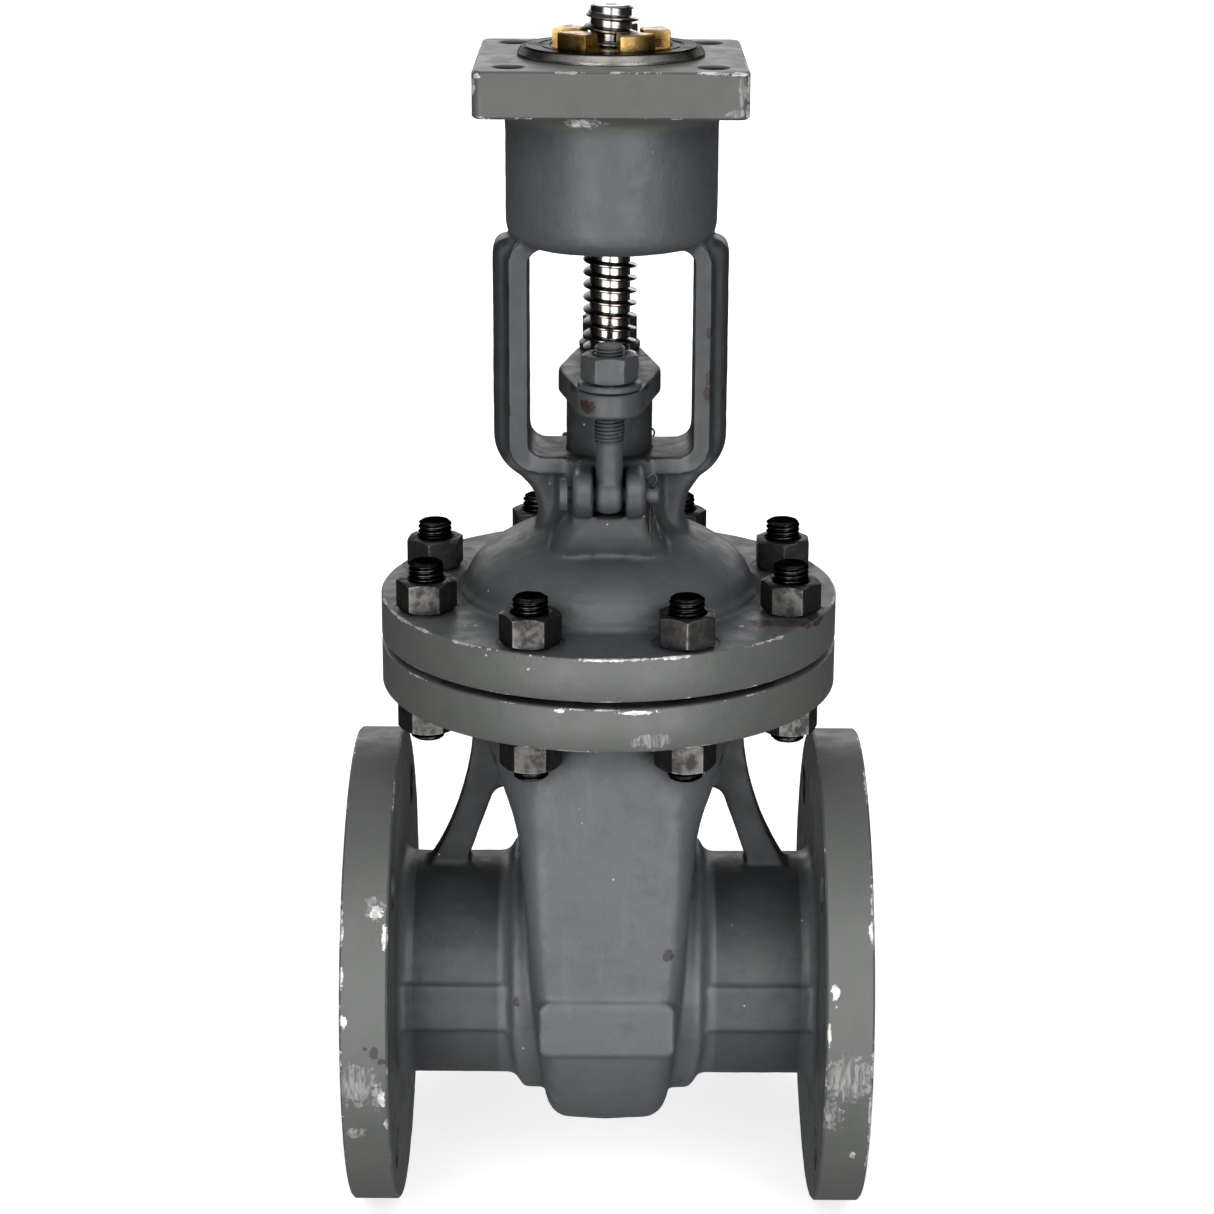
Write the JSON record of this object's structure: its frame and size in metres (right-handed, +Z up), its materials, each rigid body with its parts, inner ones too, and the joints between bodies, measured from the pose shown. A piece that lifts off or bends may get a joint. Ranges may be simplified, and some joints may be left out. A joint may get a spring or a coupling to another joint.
{
  "type": "gate valve",
  "caption": "Flanged wedge gate valve with a rising stem, a bolted bonnet and open yoke, a gland held by eyebolts, and a square plate with a clawed stem nut for an electric actuator.",
  "frame": {"origin": "on the axis of the pipe, midway between the two pipe flanges", "axes": "+Z up along the stem, +X along the pipe towards the right flange, +Y to the back; the eyebolt with the first gland nut is at the front, at -Y"},
  "size_m": [0.21, 0.195, 0.4939],
  "materials": {
    "grey_paint": "semi-gloss grey paint over a cast surface, chipped along its edges",
    "nut_steel": "bare steel with worn corners",
    "stud_steel": "dark threads wet with oil",
    "wire_steel": "dull wire, partly painted",
    "stem_steel": "polished thread with black grease",
    "trim_steel": "ground stainless facing",
    "bearing_steel": "dark oiled steel",
    "brass": "machined brass with grease in its corners",
    "graphite": "braided graphite packing",
    "gasket": "black gasket sheet"
  },
  "bodies": {
    "valve_body": {"backseat_bush": "brass", "bearing_cover": "bearing_steel", "body": "grey_paint", "bonnet": "grey_paint", "bonnet_gasket": "gasket", "cotter_pin_back": "wire_steel", "cotter_pin_front": "wire_steel", "eyebolt_back": "grey_paint", "eyebolt_front": "grey_paint", "hinge_pin_back": "grey_paint", "hinge_pin_front": "grey_paint", "lower_bearing_washer_bottom": "bearing_steel", "lower_nut_1": "nut_steel", "lower_nut_2": "nut_steel", "lower_nut_3": "nut_steel", "lower_nut_4": "nut_steel", "lower_nut_5": "nut_steel", "lower_nut_6": "nut_steel", "lower_nut_7": "nut_steel", "lower_nut_8": "nut_steel", "packing_ring_1": "graphite", "packing_ring_2": "graphite", "packing_ring_3": "graphite", "packing_ring_4": "graphite", "packing_washer": "bearing_steel", "seat_ring_left": "trim_steel", "seat_ring_right": "trim_steel", "stud_1": "stud_steel", "stud_2": "stud_steel", "stud_3": "stud_steel", "stud_4": "stud_steel", "stud_5": "stud_steel", "stud_6": "stud_steel", "stud_7": "stud_steel", "stud_8": "stud_steel", "upper_bearing_washer_top": "bearing_steel", "upper_nut_1": "nut_steel", "upper_nut_2": "nut_steel", "upper_nut_3": "nut_steel", "upper_nut_4": "nut_steel", "upper_nut_5": "nut_steel", "upper_nut_6": "nut_steel", "upper_nut_7": "nut_steel", "upper_nut_8": "nut_steel"},
    "stem": {"stem": "stem_steel", "wedge": "trim_steel"},
    "stem_nut": {"stem_nut": "brass", "lower_bearing_washer_top": "bearing_steel", "upper_bearing_washer_bottom": "bearing_steel"},
    "lower_ball_cage": {"lower_ball_cage": "bearing_steel"},
    "upper_ball_cage": {"upper_ball_cage": "bearing_steel"},
    "gland": {"gland": "grey_paint", "gland_washer_front": "grey_paint", "gland_washer_back": "grey_paint"},
    "gland_nut_front": {"gland_nut_front": "grey_paint"},
    "gland_nut_back": {"gland_nut_back": "grey_paint"}
  },
  "joints": [
    {"name": "stem_nut_spin", "type": "hinge", "parent": "valve_body", "child": "stem_nut", "pos_m": [0, 0, 0.345], "axis": [0, 0, 1], "range_deg": [0, 6121]},
    {"name": "stem_lift", "type": "slide", "parent": "valve_body", "child": "stem", "axis": [0, 0, 1], "range_m": [0, 0.085]},
    {"name": "lower_cage_spin", "type": "hinge", "parent": "valve_body", "child": "lower_ball_cage", "pos_m": [0, 0, 0.3345], "axis": [0, 0, 1], "range_deg": [0, 3070]},
    {"name": "upper_cage_spin", "type": "hinge", "parent": "valve_body", "child": "upper_ball_cage", "pos_m": [0, 0, 0.3545], "axis": [0, 0, 1], "range_deg": [0, 3070]},
    {"name": "gland_takeup", "type": "slide", "parent": "valve_body", "child": "gland", "axis": [0, 0, 1], "range_m": [-0.004, 0], "deforming": ["packing_ring_1", "packing_ring_2", "packing_ring_3", "packing_ring_4"]},
    {"name": "gland_nut_front_turn", "type": "hinge", "parent": "gland", "child": "gland_nut_front", "pos_m": [0, -0.036, 0.2635], "axis": [0, 0, 1], "range_deg": [-824, 0]},
    {"name": "gland_nut_back_turn", "type": "hinge", "parent": "gland", "child": "gland_nut_back", "pos_m": [0, 0.036, 0.2635], "axis": [0, 0, 1], "range_deg": [-824, 0]}
  ],
  "couplings": [
    {"joint": "stem_nut_spin", "follows": "stem_lift", "rad_per_m": 1256.6},
    {"joint": "lower_cage_spin", "follows": "stem_lift", "rad_per_m": 628.32},
    {"joint": "upper_cage_spin", "follows": "stem_lift", "rad_per_m": 628.32},
    {"joint": "gland_nut_front_turn", "follows": "gland_takeup", "rad_per_m": 3590.4},
    {"joint": "gland_nut_back_turn", "follows": "gland_takeup", "rad_per_m": 3590.4}
  ]
}
